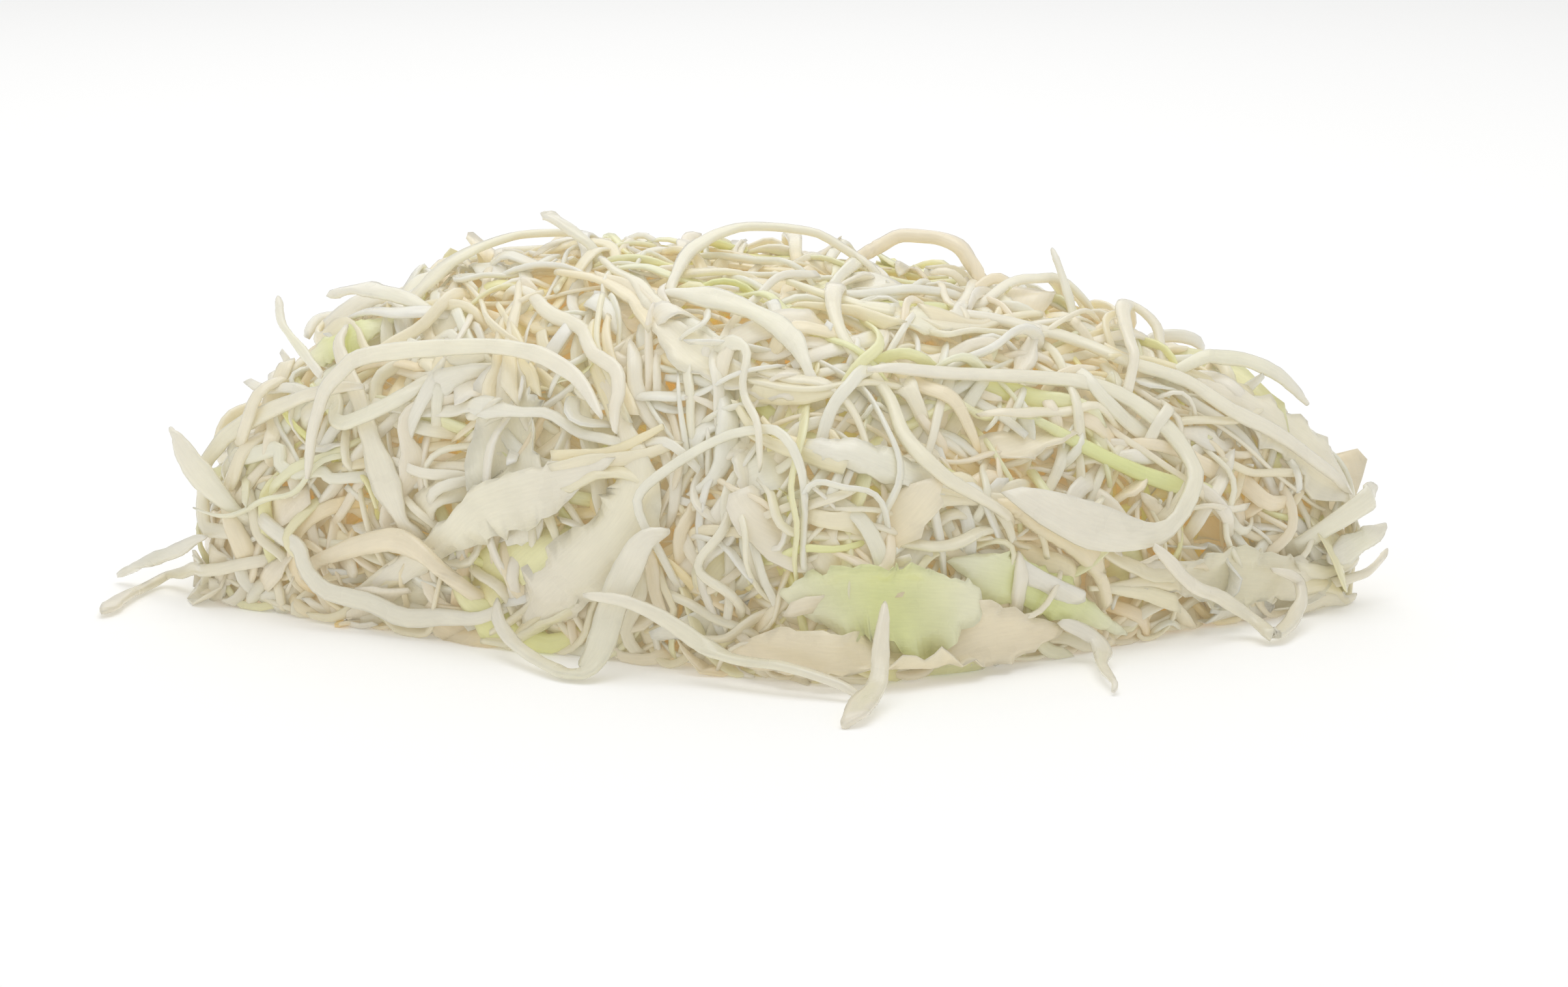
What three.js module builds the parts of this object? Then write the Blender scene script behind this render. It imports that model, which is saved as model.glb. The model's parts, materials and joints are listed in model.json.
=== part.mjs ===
// A heap of shredded white cabbage on a flat surface, in millimetres, +Z up.
// The origin is on the surface, under the middle of the heap, and +X runs along its length.
//
// The heap is a mass of packed shreds with loose shreds lying on it: strands cut across the leaf,
// thin threads, thick slices of rib, and flakes of leaf. Each loose shred is laid in turn, like
// spaghetti on a plate. It follows its route over the heap and rests on whatever is already there.

import * as THREE from 'three';
import { LoftGeometry } from 'three/addons/geometries/LoftGeometry.js';

// ---- Driving dimensions ------------------------------------------------------------------------

const HEAP_LENGTH = 174; // of the packed mass along X
const HEAP_DEPTH = 104; // along Y
const HEAP_HEIGHT = 53; // along Z
const HEAP_SQUARENESS = 2.4; // 2 is an ellipsoid, and more is a squarer dome
const TOE_SQUARENESS = 1.1; // the same for the front as seen from above: near 1, it comes to a blunt toe
const HEAP_SKEW = 0.2; // how far right the toe lies for each millimetre forward, and left the back
const FOCUS_DEPTH = 0.75; // of the point that heights are measured from, as a share of the heap's height
const HEAP_LEAN = 3; // the packed mass is this much higher left of its middle, and lower right of it
const LUMP_HEIGHT = 1.5; // the packed mass rises and falls this much either side
const LUMP_LENGTH = 38; // from one lump to the next
const CLEARANCE = 0.4; // between a shred and what it rests on

const STRAND_WIDTH = 2.3;
const STRAND_THICKNESS = 1.2;
const THREAD_WIDTH = 1.5;
const THREAD_THICKNESS = 0.9;
const RIB_WIDTH = 3.2;
const RIB_THICKNESS = 2;
const FLAKE_WIDTH = 9;
const FLAKE_THICKNESS = 1;
const FLAKE_CAMBER = 0.12; // how far a flake's middle stands above its edges, as a share of its width

const HEAP_SLICES = 44; // faces round the packed mass
const HEAP_STACKS = 11; // faces from its foot to its top
const RING_SPACING = 2.9; // between the sections of a shred's mesh
const LAYING_STEP = 0.8; // between the places where a shred is tested against what it rests on
const COVERING_STEP = 0.35; // between the points, across a laid shred, that later ones rest on
const REACH_HALVINGS = 24; // how closely the dome's surface is found
const NORMAL_PASSES = 8; // how smoothly a shred turns to face out of the heap
const LAYING_PASSES = 4; // times that a shred settles, because its slope changes what it touches
const BRIDGING_PASSES = 60; // how stiffly a shred spans a dip
const TIP_LENGTH = 0.5; // the blunt point past a shred's last section

// ---- The bare pile: the packed mass on its surface ---------------------------------------------

const HALF = new THREE.Vector3(HEAP_LENGTH / 2, HEAP_DEPTH / 2, HEAP_HEIGHT);
// Height is measured outwards from this point, under the surface, so flanks and top are laid alike.
const FOCUS = new THREE.Vector3(0, 0, -FOCUS_DEPTH * HEAP_HEIGHT);
const UP = new THREE.Vector3(0, 0, 1);

// How far out a place is as seen from above, before the skew: 1 at the foot of the smooth dome.
const planSquareness = (y) => (y < 0 ? TOE_SQUARENESS : HEAP_SQUARENESS);
function planLevel(x, y) {
  const n = planSquareness(y);
  return (Math.abs(x / HALF.x) ** n + Math.abs(y / HALF.y) ** n) ** (1 / n);
}

// 1 on the smooth dome, less inside it and more outside it.
function domeLevel(p) {
  const plan = planLevel(p.x + HEAP_SKEW * p.y, p.y);
  return (plan ** HEAP_SQUARENESS + Math.abs(p.z / HALF.z) ** HEAP_SQUARENESS) ** (1 / HEAP_SQUARENESS);
}

function domeNormal(p) {
  const n = planSquareness(p.y);
  const x = p.x + HEAP_SKEW * p.y;
  const plan = planLevel(x, p.y) ** (HEAP_SQUARENESS - n);
  const steepness = (v, half, power) => (Math.sign(v) * Math.abs(v / half) ** (power - 1)) / half;
  const acrossSlope = plan * steepness(x, HALF.x, n);
  const forwardSlope = plan * steepness(p.y, HALF.y, n) + HEAP_SKEW * acrossSlope;
  return new THREE.Vector3(
    acrossSlope, forwardSlope, steepness(p.z, HALF.z, HEAP_SQUARENESS)).normalize();
}

// How far the mass stands out from the smooth dome. It fades at the foot, to keep a flat underside.
function lumpsAt(p) {
  const wave = (2 * Math.PI) / LUMP_LENGTH;
  const rise = Math.sin(wave * p.x + 1) * Math.cos(wave * p.y) + Math.sin(wave * (p.y + 0.7 * p.z));
  const lean = HEAP_LEAN * Math.sin((Math.PI * p.x) / HALF.x) * THREE.MathUtils.smoothstep(p.z, 0, HALF.z);
  return (0.5 * LUMP_HEIGHT * rise - lean) * THREE.MathUtils.smoothstep(p.z, 0, HALF.z / 4);
}

function pointAlong(direction, distance) {
  return direction.clone().multiplyScalar(distance).add(FOCUS);
}

function directionTo(point) {
  return point.clone().sub(FOCUS).normalize();
}

// How far the bare pile reaches from the focus: to the mass or, past its foot, to the surface.
function bareReach(direction) {
  let inside = 0;
  let outside = HEAP_LENGTH + HEAP_HEIGHT;
  for (let halving = 0; halving < REACH_HALVINGS; halving++) {
    const middle = (inside + outside) / 2;
    if (domeLevel(pointAlong(direction, middle)) < 1) inside = middle;
    else outside = middle;
  }
  const onDome = pointAlong(direction, inside);
  const toSurface = -FOCUS.z / direction.z;
  return Math.max(inside + lumpsAt(onDome), toSurface);
}

// ---- What has been laid so far -----------------------------------------------------------------

// A map of how far the pile reaches in each direction from the focus.
class LaidPile {
  static CELL = 0.0052; // radians, about half a millimetre on the heap
  static WIDEST = 1.35; // radians from straight up to the furthest loose end

  constructor() {
    this.half = Math.ceil(LaidPile.WIDEST / LaidPile.CELL);
    this.side = 2 * this.half + 1;
    this.cells = new Float32Array(this.side ** 2).fill(NaN);
  }

  cellOf(direction) {
    const angle = Math.acos(direction.z);
    const across = Math.hypot(direction.x, direction.y) || 1;
    const column = Math.round((angle * direction.x) / across / LaidPile.CELL) + this.half;
    const row = Math.round((angle * direction.y) / across / LaidPile.CELL) + this.half;
    return row * this.side + column;
  }

  reach(direction) {
    const cell = this.cellOf(direction);
    if (Number.isNaN(this.cells[cell])) this.cells[cell] = bareReach(direction);
    return this.cells[cell];
  }

  // Raises the pile to hold a point, and the cells around it.
  cover(point) {
    const distance = point.distanceTo(FOCUS);
    const middle = this.cellOf(directionTo(point));
    for (let row = -1; row <= 1; row++) {
      for (let column = -1; column <= 1; column++) {
        const cell = middle + row * this.side + column;
        if (!(this.cells[cell] >= distance)) this.cells[cell] = distance;
      }
    }
  }
}

// ---- Places on the pile ------------------------------------------------------------------------

// A place on the dome: degrees round it from the front (-Y) towards +X, and degrees up it.
function onDome(round, up) {
  const lon = THREE.MathUtils.degToRad(round);
  const lat = THREE.MathUtils.degToRad(up);
  const p = new THREE.Vector3(
    HALF.x * Math.sin(lon) * Math.cos(lat),
    -HALF.y * Math.cos(lon) * Math.cos(lat),
    HALF.z * Math.sin(lat));
  p.x -= HEAP_SKEW * p.y;
  return p.divideScalar(domeLevel(p));
}

const flank = (places) => places.map(([round, up]) => onDome(round, up));

// Places on the flat crown, as shares of the heap's half length and half depth.
const crown = (places) => places.map(([x, y]) => {
  const p = new THREE.Vector3(x * HALF.x, y * HALF.y);
  p.z = HALF.z * (1 - domeLevel(p) ** HEAP_SQUARENESS) ** (1 / HEAP_SQUARENESS);
  return p;
});

// Places on the surface beside the heap: degrees round it, and millimetres out from its foot.
const ground = (places) => places.map(([round, out]) => {
  const foot = onDome(round, 0);
  return foot.setLength(foot.length() + out);
});

// ---- Shreds ------------------------------------------------------------------------------------

// A profile gives a shred's width at even steps along it, as shares of its kind's width.
const KINDS = {
  strand: { width: STRAND_WIDTH, thickness: STRAND_THICKNESS, profile: [0.8, 1, 1, 0.7] },
  thread: { width: THREAD_WIDTH, thickness: THREAD_THICKNESS, profile: [0.7, 1, 1, 0.4] },
  rib: { width: RIB_WIDTH, thickness: RIB_THICKNESS, profile: [0.5, 1, 1, 0.6] },
  flake: {
    width: FLAKE_WIDTH,
    thickness: FLAKE_THICKNESS,
    profile: [0.2, 0.8, 1, 0.9, 0.3],
    camber: FLAKE_CAMBER,
    panels: 3,
  },
};

const MATERIALS = {
  packed_mass: { color: '#ddd2ac', roughness: 0.6 },
  white_leaf: { color: '#efede3', roughness: 0.42 },
  cream_rib: { color: '#ece4c8', roughness: 0.36 },
  green_leaf: { color: '#dde29b', roughness: 0.42 },
};
for (const [name, look] of Object.entries(MATERIALS)) {
  MATERIALS[name] = new THREE.MeshStandardMaterial({ name, metalness: 0, ...look });
}

// A value part of the way, from 0 to 1, through an evenly spaced list of them.
function partWay(values, share) {
  const place = THREE.MathUtils.clamp(share, 0, 1) * (values.length - 1);
  const before = Math.min(Math.floor(place), values.length - 2);
  const ease = THREE.MathUtils.smoothstep(place - before, 0, 1);
  return THREE.MathUtils.lerp(values[before], values[before + 1], ease);
}

function averageNeighbours(list, passes, mix) {
  for (let pass = 0; pass < passes; pass++) {
    for (let i = 1; i < list.length - 1; i++) list[i] = mix(list[i - 1], list[i], list[i + 1]);
  }
}

// One loose shred on its way over the pile, as a row of stations a laying step apart.
class Shred {
  constructor({ name, kind, route, material = 'white_leaf', ...own }) {
    Object.assign(this, { lift: [0, 0], wave: 0, waveLength: 12, camber: 0, panels: 1 });
    Object.assign(this, KINDS[kind], own, { name, material });
    this.placeStations(route);
  }

  placeStations(route) {
    const curve = new THREE.CatmullRomCurve3(route, false, 'centripetal');
    const count = Math.ceil(curve.getLength() / LAYING_STEP);
    const points = curve.getSpacedPoints(count);
    this.stations = points.map((point, i) => {
      const share = i / count;
      const nearSurface = point.z < LAYING_STEP;
      const normal = nearSurface ? UP.clone() : domeNormal(point);
      const ahead = points[Math.min(i + 1, count)].clone().sub(points[Math.max(i - 1, 0)]);
      const side = new THREE.Vector3().crossVectors(normal, ahead).normalize();
      const phase = (2 * Math.PI * i * LAYING_STEP) / this.waveLength;
      const fade = Math.sqrt(Math.sin(Math.PI * share)); // to nothing at both ends
      point.addScaledVector(side, this.wave * fade * Math.sin(phase));
      const direction = directionTo(point);
      return { share, normal, direction, reach: bareReach(direction) };
    });
    averageNeighbours(this.stations, NORMAL_PASSES, (a, b, c) => {
      b.normal.add(a.normal).add(c.normal).normalize();
      return b;
    });
  }

  centre(i) {
    return pointAlong(this.stations[i].direction, this.stations[i].reach);
  }

  // Sets which way each section faces, from the way that the shred runs there.
  turnSections() {
    const last = this.stations.length - 1;
    this.stations.forEach((station, i) => {
      const along = this.centre(Math.min(i + 1, last)).sub(this.centre(Math.max(i - 1, 0))).normalize();
      station.along = along;
      station.side = new THREE.Vector3().crossVectors(station.normal, along).normalize();
      station.out = new THREE.Vector3().crossVectors(along, station.side);
    });
  }

  // A point of a section: from -1 to 1 across its width, and from -1 to 1 through its thickness.
  pointAt(i, across, through) {
    const station = this.stations[i];
    const width = this.width * partWay(this.profile, station.share);
    const crowned = this.camber * width * (1 - across ** 2);
    return this.centre(i)
      .addScaledVector(station.side, (across * width) / 2)
      .addScaledVector(station.out, (through * this.thickness) / 2 + crowned);
  }

  // How far each station has to reach for its whole section to clear the pile.
  floors(pile) {
    return this.stations.map((station, i) => {
      let least = -Infinity;
      for (const across of [-1, -0.5, 0, 0.5, 1]) {
        for (const through of [-1, 1]) {
          const point = this.pointAt(i, across, through);
          const short = pile.reach(directionTo(point)) + CLEARANCE - point.distanceTo(FOCUS);
          least = Math.max(least, station.reach + short);
        }
      }
      return least;
    });
  }

  // Moves the shred out on to the pile and up to its lift. It bridges dips instead of following them.
  // A bump lifts the stations beside it too, so that the mesh's straight facets clear it.
  restOn(pile) {
    const beside = Math.ceil(RING_SPACING / LAYING_STEP / 2);
    for (let pass = 0; pass < LAYING_PASSES; pass++) {
      this.turnSections();
      const floors = this.floors(pile);
      const reaches = this.stations.map(({ share }, i) => {
        const nearby = floors.slice(Math.max(i - beside, 0), i + beside + 1);
        return Math.max(...nearby) + partWay(this.lift, share);
      });
      averageNeighbours(reaches, BRIDGING_PASSES, (a, b, c) => Math.max(b, (a + c) / 2));
      this.stations.forEach((station, i) => {
        station.reach = reaches[i];
      });
    }
  }

  coverOver(pile) {
    const widest = Math.max(this.width * Math.max(...this.profile), this.thickness);
    const steps = Math.ceil(widest / COVERING_STEP);
    for (let i = 0; i < this.stations.length; i++) {
      for (let step = -steps; step <= steps; step++) {
        pile.cover(this.pointAt(i, step / steps, 1));
        pile.cover(this.pointAt(i, step / steps, -1));
      }
    }
  }

  // The section's corners, once round, and a single point past each end.
  mesh() {
    const edge = Array.from({ length: this.panels + 1 }, (_, k) => (2 * k) / this.panels - 1);
    const corners = [...edge.map((a) => [a, -1]), ...edge.reverse().map((a) => [a, 1])];
    const last = this.stations.length - 1;
    const rings = Math.max(4, Math.round((last * LAYING_STEP) / RING_SPACING));
    const sections = Array.from({ length: rings + 1 }, (_, k) => {
      const i = Math.round((k * last) / rings);
      return corners.map(([across, through]) => this.pointAt(i, across, through));
    });
    const tip = (i, way) => {
      const middle = this.pointAt(i, 0, 0);
      return corners.map(() => middle.clone().addScaledVector(this.stations[i].along, way * TIP_LENGTH));
    };
    const geometry = new LoftGeometry([tip(0, -1), ...sections, tip(last, 1)]);
    const mesh = new THREE.Mesh(geometry, MATERIALS[this.material]);
    mesh.name = this.name;
    return mesh;
  }
}

// ---- The packed mass ---------------------------------------------------------------------------

function packedMass() {
  const profile = Array.from({ length: HEAP_STACKS + 1 }, (_, k) => {
    const angle = (k / HEAP_STACKS) * (Math.PI / 2);
    const share = 2 / HEAP_SQUARENESS;
    const height = k === HEAP_STACKS ? 0 : Math.cos(angle) ** share;
    return new THREE.Vector2(Math.sin(angle) ** share, height);
  });
  const geometry = new THREE.LatheGeometry([new THREE.Vector2(0, 0), ...profile.reverse()], HEAP_SLICES);
  geometry.rotateX(Math.PI / 2);
  const positions = geometry.getAttribute('position');
  const p = new THREE.Vector3();
  for (let i = 0; i < positions.count; i++) {
    p.fromBufferAttribute(positions, i);
    const round = Math.hypot(p.x, p.y);
    p.multiply(HALF);
    const shrink = round / (planLevel(p.x, p.y) || 1);
    p.set(p.x * shrink - HEAP_SKEW * p.y * shrink, p.y * shrink, p.z);
    if (p.z > 0) p.copy(pointAlong(directionTo(p), p.distanceTo(FOCUS) + lumpsAt(p)));
    positions.setXYZ(i, p.x, p.y, p.z);
  }
  const mesh = new THREE.Mesh(geometry, MATERIALS.packed_mass);
  mesh.name = 'packed_shreds';
  return mesh;
}

// ---- Shreds placed by hand, from the lowest to the topmost -------------------------------------

const PLACED = [
  // Broad pieces of leaf that lie against the heap.
  { name: 'hollow_leaf_flake', kind: 'flake', profile: [0.35, 1.2, 1.35, 1, 0.35], camber: -0.1,
    route: flank([[-54, 52], [-47, 43], [-41, 33], [-37, 22]]) },
  { name: 'front_web_flake', kind: 'flake', profile: [0.25, 0.3, 0.55, 1, 1.35, 1, 0.35],
    route: flank([[-35, 51], [-27, 41], [-23, 29], [-28, 17], [-39, 4]]) },
  { name: 'left_web_flake', kind: 'flake', profile: [0.2, 0.55, 1, 0.9, 0.35],
    route: flank([[-67, 7], [-58, 16], [-47, 24], [-37, 29], [-27, 34]]) },
  { name: 'foot_leaf_flake', kind: 'flake', profile: [0.35, 0.8, 1, 0.9, 0.35], material: 'cream_rib',
    route: flank([[-12, 2], [-1, 1], [12, 1], [30, 4]]) },
  { name: 'green_blotch_flake', kind: 'flake', material: 'green_leaf',
    profile: [0.55, 1.1, 1.35, 1.2, 0.65],
    route: flank([[-6, 13], [3, 13], [15, 11]]) },
  { name: 'pale_hood_flake', kind: 'flake', profile: [0.2, 0.8, 0.9, 0.45, 0.15], material: 'green_leaf',
    route: flank([[13, 20], [23, 17], [33, 10], [44, 2]]) },
  { name: 'right_foot_flake', kind: 'flake', profile: [0.45, 0.8, 1, 0.9, 0.45],
    route: flank([[45, 13], [60, 8], [74, 5], [86, 3]]) },
  { name: 'right_side_flake', kind: 'flake', profile: [0.35, 0.9, 1, 0.45],
    route: flank([[80, 43], [86, 31], [90, 22], [90, 12]]) },
  { name: 'yellow_left_flake', kind: 'flake', profile: [0.2, 0.55, 0.65, 0.2], material: 'green_leaf',
    route: flank([[-86, 51], [-88, 46], [-90, 41]]) },
  { name: 'blade_flake', kind: 'flake', profile: [0.2, 0.35, 0.65, 0.6, 0.35],
    route: flank([[-41, 66], [-28, 59], [-17, 52], [-10, 48], [-2, 46]]) },
  { name: 'centre_leaf_flake', kind: 'flake', profile: [0.2, 0.55, 0.7, 0.55, 0.15],
    route: flank([[10, 68], [19, 64], [32, 63], [44, 64]]) },
  { name: 'middle_blade_flake', kind: 'flake', profile: [0.15, 0.45, 0.65, 0.45, 0.15],
    route: flank([[-5, 36], [1, 34], [9, 32], [19, 32]]) },
  // Ribs and strands that lie across the front.
  { name: 'left_rib_slice', kind: 'rib', material: 'cream_rib',
    route: flank([[-75, 9], [-67, 14], [-57, 15], [-48, 9]]) },
  { name: 'centre_rib_slice', kind: 'rib', material: 'cream_rib', profile: [0.6, 1.4, 1.55, 0.6],
    route: flank([[24, 29], [34, 21], [38, 12]]) },
  { name: 'left_cross_strand', kind: 'strand', profile: [0.6, 0.85, 1.05, 1.5, 2.15, 0.85],
    route: flank([[-85, 46], [-81, 43], [-74, 39], [-66, 31], [-59, 20]]) },
  { name: 'middle_strand', kind: 'strand', wave: 0.8, waveLength: 14,
    route: flank([[-73, 62], [-62, 61], [-48, 58], [-38, 53], [-30, 47], [-27, 37]]) },
  { name: 'zigzag_strand', kind: 'strand', wave: 1.6, waveLength: 9,
    route: flank([[-89, 22], [-85, 25], [-81, 26], [-76, 24], [-70, 27]]) },
  { name: 'curled_strand', kind: 'strand', profile: [1.15, 1.15, 0.95, 0.85],
    route: flank([[-81, 34], [-77, 37], [-74, 34], [-70, 32], [-64, 37], [-65, 44]]) },
  { name: 'left_sweep_strand', kind: 'strand', profile: [0.85, 1.2, 1.15, 0.95, 0.7],
    route: flank([[-85, 12], [-89, 12], [-90, 17], [-89, 25], [-86, 30], [-80, 34], [-69, 38]]) },
  { name: 'low_left_strand', kind: 'strand', profile: [0.95, 1.2, 1.2, 1.15, 0.85], wave: 0.6,
    route: flank([[-82, 16], [-79, 14], [-74, 12], [-69, 5], [-62, 2], [-54, 2], [-45, 4], [-42, 8]]) },
  { name: 'left_arch_strand', kind: 'strand', profile: [0.7, 0.95, 1.15, 1.05, 0.6],
    route: flank([[-72, 22], [-70, 34], [-67, 43], [-56, 49], [-46, 49], [-36, 46], [-28, 37]]),
    lift: [0, 1.5, 0.5, 0] },
  { name: 'bow_strand', kind: 'strand', profile: [0.6, 1.65, 1.15, 1.75, 0.6],
    route: flank([[-32, 66], [-21, 64], [-12, 61], [-4, 55], [-2, 49]]), lift: [0, 1.2, 1.5, 0] },
  { name: 'crossing_strand', kind: 'strand', profile: [1.3, 0.85, 0.8, 0.95, 0.7],
    route: flank([[16, 74], [6, 65], [5, 56], [9, 47], [9, 38], [12, 31], [22, 27]]) },
  { name: 'shoulder_wavy_strand', kind: 'strand', wave: 0.7, waveLength: 16,
    route: flank([[52, 68], [69, 61], [72, 52], [74, 44], [76, 35], [81, 26], [85, 16]]) },
  { name: 'green_tipped_strand', kind: 'strand', material: 'green_leaf', profile: [0.5, 0.95, 1.15, 0.95],
    route: flank([[38, 47], [47, 39], [57, 30], [67, 26]]) },
  { name: 'front_loop_thread', kind: 'thread', lift: [0, 0.8, 1.5, 0.8, 0],
    route: flank([[-18, 15], [-22, 24], [-19, 32], [-12, 38], [-7, 37], [-4, 30], [-4, 19]]) },
  { name: 'front_hanging_strand', kind: 'strand', profile: [0.7, 1.05, 1.15, 1.95, 2.15, 0.85],
    route: [...flank([[-42, 6], [-41, 3]]), ...ground([[-37, 3], [-29, 10], [-25, 12], [-24, 7]]),
      ...flank([[-23, 7], [-20, 16], [-18, 20]])] },
  { name: 'great_arc_strand', kind: 'strand', profile: [0.6, 0.85, 1, 1.05, 1.2, 1.3, 3.05, 1.75],
    route: flank([[6, 49], [19, 52], [41, 53], [57, 49], [62, 42], [62, 34], [57, 26], [47, 18],
      [32, 21], [22, 29]]),
    lift: [0, 0.6, 1, 1, 0] },
  { name: 'right_low_strand', kind: 'strand',
    route: [...flank([[42, 14], [48, 6], [57, 3]]), ...ground([[60, 5], [56, 12], [64, 8]]),
      ...flank([[74, 3], [69, 7]])],
    lift: [0, 0.8, 0.8, 0] },
  { name: 'foot_strand', kind: 'strand', profile: [0.7, 0.95, 1.05, 0.5],
    route: [...flank([[-26, 4], [-18, 3]]), ...ground([[-11, 2], [-6, 3], [-2, 5], [0, 8]])] },
  // Ends that stray on to the surface.
  { name: 'forked_front_flake', kind: 'strand', profile: [0.6, 1.05, 1.75, 1.15],
    route: [...flank([[3, 9], [2, 2]]), ...ground([[1, 7], [-1, 16], [-2, 24]])] },
  { name: 'right_front_needle', kind: 'thread', profile: [1.45, 1.75, 0.95, 0.35],
    route: [...flank([[28, 5]]), ...ground([[32, 2], [25, 12], [21, 22]])],
    lift: [0, 0.4] },
  { name: 'left_ground_strand', kind: 'strand', profile: [1.3, 0.85, 0.8, 0.95], wave: 0.6, waveLength: 15,
    route: [...ground([[-81, 23], [-96, 8], [-102, 2]]), ...flank([[-87, 5], [-82, 8]])] },
  { name: 'left_raised_strand', kind: 'strand', profile: [1.3, 0.95, 0.95, 0.6],
    route: [...ground([[-103, 10], [-100, 3]]), ...flank([[-93, 4], [-88, 7], [-85, 9]])],
    lift: [2, 1, 0, 0] },
  // Ends that stand clear of the outline.
  { name: 'left_spike', kind: 'strand', profile: [0.85, 1.75, 1.4, 0.25],
    route: flank([[-84, 15], [-87, 19], [-89, 22]]), lift: [0, 0.5, 2, 5] },
  { name: 'upper_left_thread', kind: 'thread', profile: [1.05, 0.95, 0.8, 0.6],
    route: flank([[-75, 37], [-80, 39], [-86, 41], [-89, 43]]), lift: [0, 0.5, 3, 8] },
  { name: 'upper_left_tab', kind: 'strand', profile: [0.7, 1.05, 1.75, 0.5],
    route: flank([[-82, 54], [-89, 52], [-94, 50], [-93, 47]]), lift: [0, 0.5, 1.5, 3] },
  { name: 'ridge_ribbon', kind: 'strand', profile: [1.55, 2.15, 1.3, 0.6],
    route: crown([[-0.62, 0.02], [-0.53, 0.1], [-0.44, 0.16], [-0.34, 0.2]]), lift: [0, 1.5, 1.5, 0.5] },
  { name: 'crown_tab', kind: 'strand', profile: [0.6, 0.85, 1.5, 0.45],
    route: crown([[-0.31, 0.02], [-0.34, 0.05], [-0.37, 0.07]]), lift: [0, 1, 3, 5.5] },
  { name: 'crown_arch_strand', kind: 'strand', profile: [0.7, 1.15, 1.05, 0.5],
    route: crown([[-0.17, -0.3], [-0.13, -0.08], [-0.04, 0.04], [0.08, 0.06], [0.17, 0.02]]),
    lift: [0, 2, 3.5, 3, 0] },
  { name: 'crown_rib_arch', kind: 'rib', material: 'cream_rib', profile: [0.5, 1.1, 1.25, 0.6],
    route: crown([[0.15, 0.12], [0.22, 0.15], [0.29, 0.14], [0.37, 0.08]]), lift: [0, 4, 4.5, 0] },
  { name: 'shoulder_loop_strand', kind: 'strand', profile: [0.7, 0.85, 0.95, 0.6],
    route: flank([[63, 47], [72, 52], [86, 55], [93, 54], [90, 51], [83, 48]]),
    lift: [0, 0.5, 3.5, 3.5, 0] },
  { name: 'right_arch_strand', kind: 'strand', profile: [0.7, 1.2, 1.05, 0.6],
    route: flank([[79, 46], [84, 43], [88, 38], [90, 31]]), lift: [0, 1, 1, 0] },
  { name: 'right_needle', kind: 'thread', profile: [1.05, 1, 0.75, 0.4],
    route: flank([[86, 3], [90, 3], [95, 3]]), lift: [0, 1, 4, 9] },
  { name: 'right_tip_flake', kind: 'strand', profile: [1.15, 1.85, 1.3, 0.35],
    route: flank([[81, 12], [85, 14], [89, 15]]), lift: [0, 0.3, 1.2, 3] },
  { name: 'right_low_tip_flake', kind: 'strand', profile: [1.05, 1.9, 1.5, 0.45],
    route: flank([[82, 7], [86, 8], [89, 9]]), lift: [0, 0.8, 3, 7] },
  { name: 'crown_spike', kind: 'thread', profile: [0.95, 1.05, 0.8, 0.45],
    route: crown([[0.53, 0], [0.49, 0.06], [0.46, 0.1]]), lift: [0, 1, 4, 7] },
];

// ---- Shreds strewn by chance -------------------------------------------------------------------

// The same numbers between 0 and 1 each time.
function seededRandom(seed) {
  let state = seed;
  return () => {
    state = (state + 0x6d2b79f5) | 0;
    let mixed = Math.imul(state ^ (state >>> 15), 1 | state);
    mixed = (mixed + Math.imul(mixed ^ (mixed >>> 7), 61 | mixed)) ^ mixed;
    return ((mixed ^ (mixed >>> 14)) >>> 0) / 2 ** 32;
  };
}

const MEAN_RADIUS = (HALF.x + HALF.y + HALF.z) / 3;
const STREWN_WAVE = 0.8; // a strewn shred waves this much at most
const WANDER_STEPS = 5;
const WANDER_TURN = 1.3; // radians that a wandering route may turn by at each step
const WANDER_LOWEST = 5; // degrees up the dome
const WANDER_HIGHEST = 70;
const STREWN_SEED = 11;

// A route that starts at a place on the dome and wanders a little to one side and the other.
function wander(random, round, up, length) {
  const step = THREE.MathUtils.radToDeg(length / WANDER_STEPS / MEAN_RADIUS);
  const places = [[round, up]];
  let heading = 2.5 * (random() - 0.5) + (random() < 0.5 ? Math.PI : 0);
  for (let i = 0; i < WANDER_STEPS; i++) {
    const [lon, lat] = places[i];
    const narrowing = Math.cos(THREE.MathUtils.degToRad(lat));
    const climbed = THREE.MathUtils.clamp(lat + Math.sin(heading) * step, WANDER_LOWEST, WANDER_HIGHEST);
    places.push([lon + (Math.cos(heading) * step) / narrowing, climbed]);
    heading += (random() - 0.5) * WANDER_TURN;
  }
  return flank(places);
}

// Each row's shreds start at even steps round the back, at a height between the two given.
const STREWN = [
  { name: 'back_strand', kind: 'strand', count: 8, from: [118, 14], to: [242, 58], length: 34 },
  { name: 'back_rib', kind: 'rib', count: 2, from: [140, 20], to: [220, 50], length: 18,
    material: 'cream_rib' },
  { name: 'back_flake', kind: 'flake', count: 2, from: [135, 24], to: [225, 34], length: 15 },
];

function strewnShreds() {
  const random = seededRandom(STREWN_SEED);
  return STREWN.flatMap(({ name, count, from, to, length, ...rest }) =>
    Array.from({ length: count }, (_, i) => {
      const share = (i + 0.5) / count;
      const round = THREE.MathUtils.lerp(from[0], to[0], share);
      const up = THREE.MathUtils.lerp(from[1], to[1], random());
      const route = wander(random, round, up, length * (0.8 + 0.5 * random()));
      return { ...rest, name: `${name}_${i + 1}`, route, wave: STREWN_WAVE * random() };
    }));
}

// ---- The heap ----------------------------------------------------------------------------------

const heap = new THREE.Group();
heap.name = 'shredded_cabbage_heap';
heap.add(packedMass());

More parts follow.
